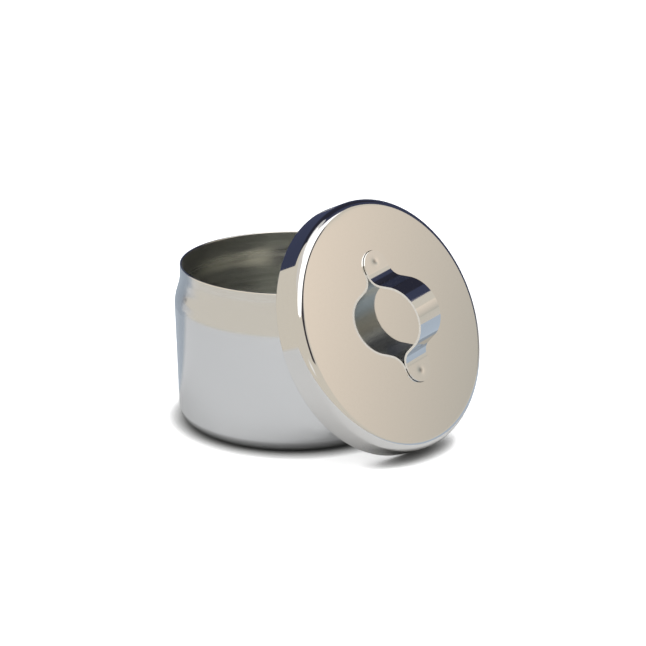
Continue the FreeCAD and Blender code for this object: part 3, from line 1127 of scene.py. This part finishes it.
@dataclass(frozen=True)
class Studio:
    """The floor, the light, what the steel reflects, and the camera.

    The viewpoint and the sensor are in millimetres, and other lengths in metres. The focal
    length, the frame and the half pixel that the lens is shifted by are in pixels of the
    photograph. The shade fields say how the paper darkens where something stands on it.
    """

    focal_pixels: float = 2200.0
    frame_pixels: float = 646.0
    sensor: float = 36.0
    clip_end: float = 100.0
    pitch: float = math.radians(17.86)
    half_pixel: float = 0.5
    viewpoint: Triple = (12.18, -843.41, 310.57)
    floor_size: float = 12.0
    floor_glow: float = 0.7
    floor_glow_in_metal: float = 0.14
    shade_reach: float = 0.007
    shade_samples: int = 4
    shade_power: float = 2.0
    shaded_paper: Colour = (0.16, 0.16, 0.155)
    open_paper: Colour = (0.88, 0.88, 0.88)
    sky_light: Colour = (0.96, 0.98, 1.0)
    sky_strength: float = 0.45
    lamps: tuple[Lamp, ...] = LAMPS
    surroundings: tuple[Card | FarFloor, ...] = SURROUNDINGS

    def build_floor(self) -> None:
        """Lays the pale paper that the jar stands on."""
        bpy.ops.mesh.primitive_plane_add(size=self.floor_size, location=(0, 0, 0))
        floor = bpy.context.object
        floor.name = "floor"
        floor.data.materials.append(self._floor_material())

    def _floor_material(self) -> bpy.types.Material:
        """White paper that glows, and darkens in a fine line where something stands on it.

        The glow lifts it to white for the camera, and less in the steel. The openness, which
        is ambient occlusion to a power, mixes its colour and scales its glow.

        Returns:
            The floor's material.
        """
        made, tree, surface = blank_material("floor_paper")
        nearby = tree.nodes.new("ShaderNodeAmbientOcclusion")
        nearby.inputs["Distance"].default_value = self.shade_reach
        nearby.samples = self.shade_samples
        openness = number(tree, "POWER", nearby.outputs["AO"], self.shade_power)
        paper = tree.nodes.new("ShaderNodeBsdfDiffuse")
        tone = mixed(tree, openness, self.shaded_paper, self.open_paper)
        tree.links.new(tone, paper.inputs["Color"])
        to_camera = tree.nodes.new("ShaderNodeLightPath").outputs["Is Camera Ray"]
        in_metal = number(tree, "MULTIPLY", self._seen(tree), self.floor_glow_in_metal)
        extra = self.floor_glow - self.floor_glow_in_metal
        strength = number(tree, "MULTIPLY_ADD", to_camera, extra, in_metal)
        glow = tree.nodes.new("ShaderNodeEmission")
        tree.links.new(number(tree, "MULTIPLY", strength, openness), glow.inputs["Strength"])
        total = tree.nodes.new("ShaderNodeAddShader")
        tree.links.new(paper.outputs["BSDF"], total.inputs[0])
        tree.links.new(glow.outputs["Emission"], total.inputs[1])
        tree.links.new(total.outputs["Shader"], surface)
        return made

    def _seen(self, tree: Tree) -> Socket:
        """1 where a ray is seen, straight, in metal or through glass, and 0 where it lights."""
        path = tree.nodes.new("ShaderNodeLightPath")
        seen = path.outputs["Is Camera Ray"]
        for kind in ("Is Glossy Ray", "Is Transmission Ray"):
            seen = number(tree, "MAXIMUM", seen, path.outputs[kind])
        return seen

    def _background(self, tree: Tree, colour: Colour, strength: float) -> Socket:
        """A plain background of one colour."""
        node = tree.nodes.new("ShaderNodeBackground")
        node.inputs["Color"].default_value = (*colour, 1.0)
        node.inputs["Strength"].default_value = strength
        return node.outputs["Background"]

    def build_world(self) -> None:
        """A plain world: white where it is seen, straight or in metal, and soft as light."""
        world = bpy.data.worlds.new("studio")
        bpy.context.scene.world = world
        world.use_nodes = True
        tree = world.node_tree
        tree.nodes.clear()
        output = tree.nodes.new("ShaderNodeOutputWorld")
        white = self._background(tree, (1.0, 1.0, 1.0), 1.0)
        light = self._background(tree, self.sky_light, self.sky_strength)
        mix = mixed_shader(tree, self._seen(tree), light, white)
        tree.links.new(mix, output.inputs["Surface"])

    def build_camera(self) -> None:
        """Sets the camera at the photograph's height, distance and angle of view."""
        lens = bpy.data.cameras.new("camera")
        lens.sensor_width = self.sensor
        lens.lens = self.sensor * self.focal_pixels / self.frame_pixels
        lens.clip_end = self.clip_end
        lens.shift_x = -self.half_pixel / self.frame_pixels
        lens.shift_y = self.half_pixel / self.frame_pixels
        camera = add_object("camera", lens)
        camera.location = Vector(self.viewpoint) * MM
        camera.rotation_euler = (RIGHT_ANGLE - self.pitch, 0, 0)
        bpy.context.scene.camera = camera

    def build(self) -> None:
        """Makes the whole stage."""
        self.build_floor()
        self.build_world()
        for piece in self.lamps + self.surroundings:
            piece.build()
        self.build_camera()
        bpy.context.scene.view_settings.view_transform = "Standard"


def main() -> None:
    """Builds the jar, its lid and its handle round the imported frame, and the stage."""
    logging.basicConfig(level=logging.INFO, format="%(message)s")
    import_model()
    jar = Jar()
    lid = Lid(jar)
    handle = Handle(lid)
    for maker, node, slot in (
        (jar, "jar", "jar_steel"), (lid, "lid", "lid_steel"), (handle, "handle", "handle_steel"),
    ):
        piece = maker.build()
        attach(piece, "root")
        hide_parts(node)
        LOG.info("%s: %d faces", piece.name, len(piece.data.polygons))
    # These dark tubes are painted shade round the handle's feet.
    for gap_shade in handle.build_gap_shades():
        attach(gap_shade, "root")
        LOG.info("%s: %d faces", gap_shade.name, len(gap_shade.data.polygons))
    Studio().build()


if __name__ == "__main__":
    main()
